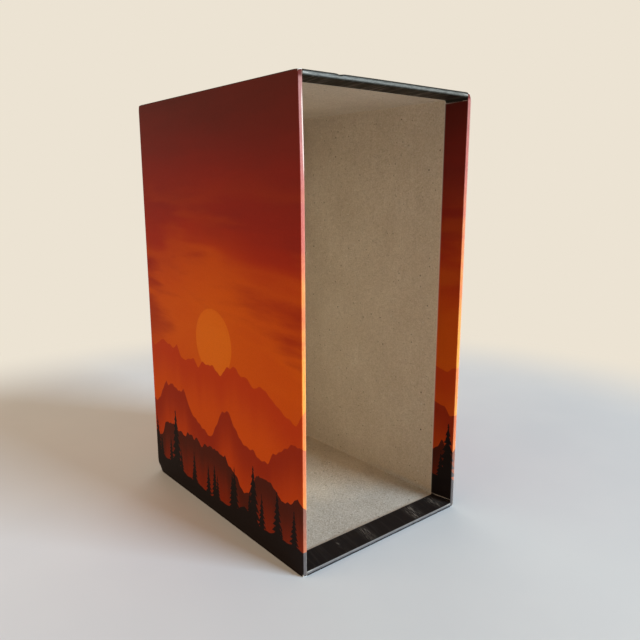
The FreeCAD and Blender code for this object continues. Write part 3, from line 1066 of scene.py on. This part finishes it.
def end_print(end, glow, brushed_and_glinting, scratched_and_glinting):
    """Near-black ends, with a breath of the sky's red outside, and brush marks and scratch lines in the mouth.

    On the top flap the pale strokes along its creases and across its turn-in are partly scuff marks and partly
    painted highlight, where the creases catch the light.
    """
    r = Recipe(bpy.data.materials.new(f"{end}_print"))
    t, s, past_rim = r.mark("sheet")
    cloud = r.noise(r.vector(t, s, 0.0), 0.03, 5.0, 0.6)
    outside = r.step(past_rim, *OUTSIDE)
    colour = r.mix(r.step(cloud, 0.40, 0.75) * outside * glow, END_INK[end], END_GLOW)
    turned_in = r.step(past_rim, *TURNED_IN)
    from_middle = r.math("ABSOLUTE", t)
    brushing_and_glints = strokes(r, t, past_rim, lean=0.2, scale=0.4) * r.step(from_middle, *STROKE_ENDS)
    scratches_and_glints = strokes(r, t, past_rim, lean=0.3, scale=2.6)
    scratches_and_glints = scratches_and_glints + 0.4 * strokes(r, t, past_rim, lean=-0.15, scale=2.0)
    # On the top flap these pale strokes are partly scuff marks and partly painted highlight on its creases.
    scuffs_and_glints = turned_in * brushed_and_glinting * brushing_and_glints + r.number("crease") * scratched_and_glinting * scratches_and_glints
    # This white line is partly rubbing and partly painted highlight: the bottom rim's silver line and the
    # whiter ends of the top and bottom rims.
    worn_and_highlight = worn_and_highlight_line(r, past_rim, RIM_WEAR_AND_HIGHLIGHT[end], r.step(from_middle, *RIM_ENDS))
    return laminated(r, colour, t, past_rim, RIM_WEAR_AND_HIGHLIGHT[end], 1.0, worn_and_highlight + scuffs_and_glints)


picture_material = picture_print()
top_material = end_print("top", glow=0.8, brushed_and_glinting=0.10, scratched_and_glinting=0.08)
bottom_material = end_print("bottom", glow=0.3, brushed_and_glinting=0.012, scratched_and_glinting=0.36)

# %% [markdown]
# ## Putting the pieces in the frame
# Each piece takes the place of its CAD node and rides on the box's one body.


# %% Materials and bodies
def dress(piece, node, slot, *materials):
    """Gives a piece its materials and its place in the frame."""
    for material in materials:
        piece.data.materials.append(material)
    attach(piece, "root")
    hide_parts(node)
    print(f"{piece.name} takes the place of {node}")


for wall, piece in boards.items():
    dress(piece, f"{wall}_board", "greyboard", greyboard_material, greyboard_material)
for (end, side), piece in tapes.items():
    dress(piece, f"corner_stay_{end}_{side}", "stay_tape", kraft_material, kraft_material)
FLAP_FINISHES = {
    "left": ("side_print", picture_material),
    "right": ("side_print", picture_material),
    "spine": ("spine_print", picture_material),
    "top": ("end_print", top_material),
    "bottom": ("end_print", bottom_material),
}
for wall, (slot, material) in FLAP_FINISHES.items():
    dress(flaps[wall], f"{wall}_wrap", slot, material, paper_material)

# %% [markdown]
# ## Stage, light and camera
# The box stands on a plain pale floor that turns warmer with distance, like a paper sweep. A large cool
# window far off to the right front lights the rim, the floor and the inside of the box. Warm light from the
# room on the left, from a far wall behind on the right and from all round fills in the shadows. The camera's
# place and angle were worked out from the box's own corners, and are written here in metres and degrees.

# %% Floor
FLOOR_SIZE, FLOOR_GAP = 8.0, 0.02 * MM
FLOOR_TINT, FLOOR_PALE = ink(212, 215, 219), ink(221, 223, 225)
BACKDROP = ink(236, 227, 211)
FADE_FROM, FADE_TO = 255.0, 420.0


def seen_directly(r):
    """1 for rays from the camera and for reflected and refracted rays, 0 for rays that only gather light."""
    path = r.node("ShaderNodeLightPath", {}).outputs
    camera = Amount(r, path["Is Camera Ray"])
    glossy = Amount(r, path["Is Glossy Ray"])
    transmission = Amount(r, path["Is Transmission Ray"])
    return r.math("MAXIMUM", r.math("MAXIMUM", camera, glossy), transmission)


def pale_floor():
    """A flat floor that takes the backdrop's colour beyond a ring round the box, as a paper sweep would."""
    mesh = bpy.data.meshes.new("floor")
    half = FLOOR_SIZE / 2
    level = cad_low[2] - FLOOR_GAP
    corners = [(-half, -half, level), (half, -half, level), (half, half, level), (-half, half, level)]
    mesh.from_pydata(corners, [], [(0, 1, 2, 3)])
    floor = bpy.data.objects.new("floor", mesh)
    bpy.context.scene.collection.objects.link(floor)
    r = Recipe(bpy.data.materials.new("pale_floor"))
    x, y, _ = r.parts(r.place())
    away = r.math("SQRT", x * x + y * y)
    mottle = r.noise(r.place(), 0.02, 4.0)
    colour = r.mix(r.step(mottle, 0.3, 0.8) * 0.3, FLOOR_TINT, FLOOR_PALE)
    lit = r.surface(colour, 0.9, r.noise(r.place(), 0.4, 3.0), 0.01, **{"Specular IOR Level": 0.0})
    far = r.node("ShaderNodeEmission", {"Color": BACKDROP, "Strength": 1.0}).outputs[0]
    share = r.step(away, FADE_FROM, FADE_TO) * seen_directly(r)
    mesh.materials.append(r.finish(r.node("ShaderNodeMixShader", {0: share, 1: lit, 2: far}).outputs[0]))
    floor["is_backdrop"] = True


pale_floor()

# %% World, window and room light
ROOM_LIGHT, ROOM_STRENGTH = (1.0, 0.76, 0.50, 1.0), 0.35
AIM = np.array([0.0, -0.02, 0.10])
LAMPS = {
    "window": {"at": (1.38, -3.14, 0.76), "size": (1.68, 1.20), "radiance": 50.0, "tint": (0.64, 0.84, 1.0)},
    "room": {"at": (-1.00, 0.25, 0.50), "size": (1.10, 0.90), "radiance": 1.85, "tint": (1.0, 0.75, 0.54)},
    "far_wall": {"at": (0.80, 1.20, 0.50), "size": (1.30, 0.90), "radiance": 2.7, "tint": (1.0, 0.93, 0.84)},
}


def room_world():
    """The surroundings light the box evenly; the camera and reflections see the backdrop's colour instead."""
    r = Recipe(bpy.data.worlds.new("room"))
    light = r.node("ShaderNodeBackground", {"Color": ROOM_LIGHT, "Strength": ROOM_STRENGTH}).outputs[0]
    seen = r.node("ShaderNodeBackground", {"Color": BACKDROP, "Strength": 1.0}).outputs[0]
    both = r.node("ShaderNodeMixShader", {0: seen_directly(r), 1: light, 2: seen}).outputs[0]
    bpy.context.scene.world = r.finish(both, "ShaderNodeOutputWorld")


def soft_lamp(name, at, size, radiance, tint):
    """A rectangle of light aimed at the box, whose power is radiance * pi * area."""
    lamp = bpy.data.lights.new(name, "AREA")
    lamp.shape = "RECTANGLE"
    lamp.size, lamp.size_y = size
    lamp.energy = radiance * np.pi * size[0] * size[1]
    lamp.color = tint
    holder = bpy.data.objects.new(name, lamp)
    holder.location = at
    toward = Vector((AIM - np.array(at)).tolist())
    holder.rotation_euler = toward.to_track_quat("-Z", "Y").to_euler()
    holder.visible_camera = False
    bpy.context.scene.collection.objects.link(holder)
    print(f"{name}: {lamp.energy:.1f} W at {at}")


room_world()
for name, lamp in LAMPS.items():
    soft_lamp(name, **lamp)

# %% Camera
CAMERA_AT = np.array([-0.20190, -0.26723, 0.16635])
CAMERA_AZIMUTH, CAMERA_ELEVATION, CAMERA_ROLL = np.radians([39.357, -11.742, -0.058])
CAMERA_LENS_MM, SENSOR_MM = 35.653, 36.0


def photographer():
    """A camera whose axes come from its azimuth from +Y towards +X, its elevation and its roll."""
    az, el, roll = CAMERA_AZIMUTH, CAMERA_ELEVATION, CAMERA_ROLL
    forward = np.array([np.sin(az) * np.cos(el), np.cos(az) * np.cos(el), np.sin(el)])
    right = np.array([np.cos(az), -np.sin(az), 0.0])
    up = np.cross(right, forward)
    turned_right = np.cos(roll) * right + np.sin(roll) * up
    turned_up = np.cos(roll) * up - np.sin(roll) * right
    data = bpy.data.cameras.new("photographer")
    data.lens, data.sensor_width = CAMERA_LENS_MM, SENSOR_MM
    data.clip_start, data.clip_end = 0.01, 20.0
    camera = bpy.data.objects.new("photographer", data)
    placed = np.eye(4)
    placed[:3] = np.column_stack([turned_right, turned_up, -forward, CAMERA_AT])
    camera.matrix_world = Matrix(placed.tolist())
    bpy.context.scene.collection.objects.link(camera)
    bpy.context.scene.camera = camera


photographer()
print(f"camera at {CAMERA_AT} m, {CAMERA_LENS_MM} mm lens")
bpy.context.scene.view_settings.view_transform = "Standard"
